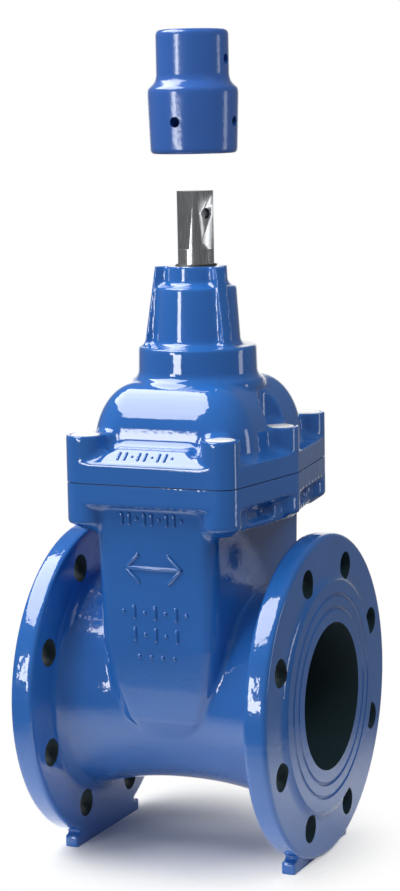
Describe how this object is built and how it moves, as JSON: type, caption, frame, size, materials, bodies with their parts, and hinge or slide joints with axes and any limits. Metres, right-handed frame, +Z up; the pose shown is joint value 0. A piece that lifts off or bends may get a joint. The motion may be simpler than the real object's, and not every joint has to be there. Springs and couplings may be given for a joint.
{
  "type": "flanged gate valve with a resilient wedge, DN 100",
  "caption": "Blue epoxy-coated cast iron gate valve with two round eight-hole flanges, a bolted domed bonnet, a ribbed stem tower, a steel stem with a square end and a loose stem cap held above it.",
  "frame": {"origin": "on the floor under the stem, midway between the two flange faces", "axes": "+X along the pipe, +Z up the stem, -Y towards the front face of the neck"},
  "size_m": [0.19, 0.22, 0.5576],
  "materials": {
    "blue_epoxy": "gloss",
    "black_rubber": "matt",
    "bolt_steel": "satin",
    "seal_wax": "gloss",
    "brass": "satin",
    "bearing_plastic": "satin",
    "stainless_steel": "brushed"
  },
  "bodies": {
    "housing": {"valve_body": "blue_epoxy", "bonnet": "blue_epoxy", "bonnet_gasket": "black_rubber", "bonnet_bolt_1": "bolt_steel", "bonnet_bolt_2": "bolt_steel", "bonnet_bolt_3": "bolt_steel", "bonnet_bolt_4": "bolt_steel", "bonnet_bolt_5": "bolt_steel", "bonnet_bolt_6": "bolt_steel", "bolt_seal_1": "seal_wax", "bolt_seal_2": "seal_wax", "bolt_seal_3": "seal_wax", "bolt_seal_4": "seal_wax", "bolt_seal_5": "seal_wax", "bolt_seal_6": "seal_wax", "thrust_ring": "brass", "stem_bush": "bearing_plastic", "wiper_ring": "black_rubber"},
    "spindle": {"stem": "stainless_steel"},
    "gate": {"wedge": "black_rubber", "wedge_nut": "brass"},
    "cap": {"stem_cap": "blue_epoxy"}
  },
  "joints": [
    {"name": "stem_turn", "type": "hinge", "parent": "housing", "child": "spindle", "pos_m": [0, 0, 0.35], "axis": [0, 0, 1], "range_deg": [0, 7488]},
    {"name": "wedge_lift", "type": "slide", "parent": "housing", "child": "gate", "axis": [0, 0, 1], "range_m": [0, 0.104]},
    {"name": "cap_lift", "type": "slide", "parent": "spindle", "child": "cap", "axis": [0, 0, 1], "range_m": [-0.0633, 0]}
  ],
  "couplings": [
    {"joint": "wedge_lift", "follows": "stem_turn", "m_per_rad": 0.00079577}
  ]
}
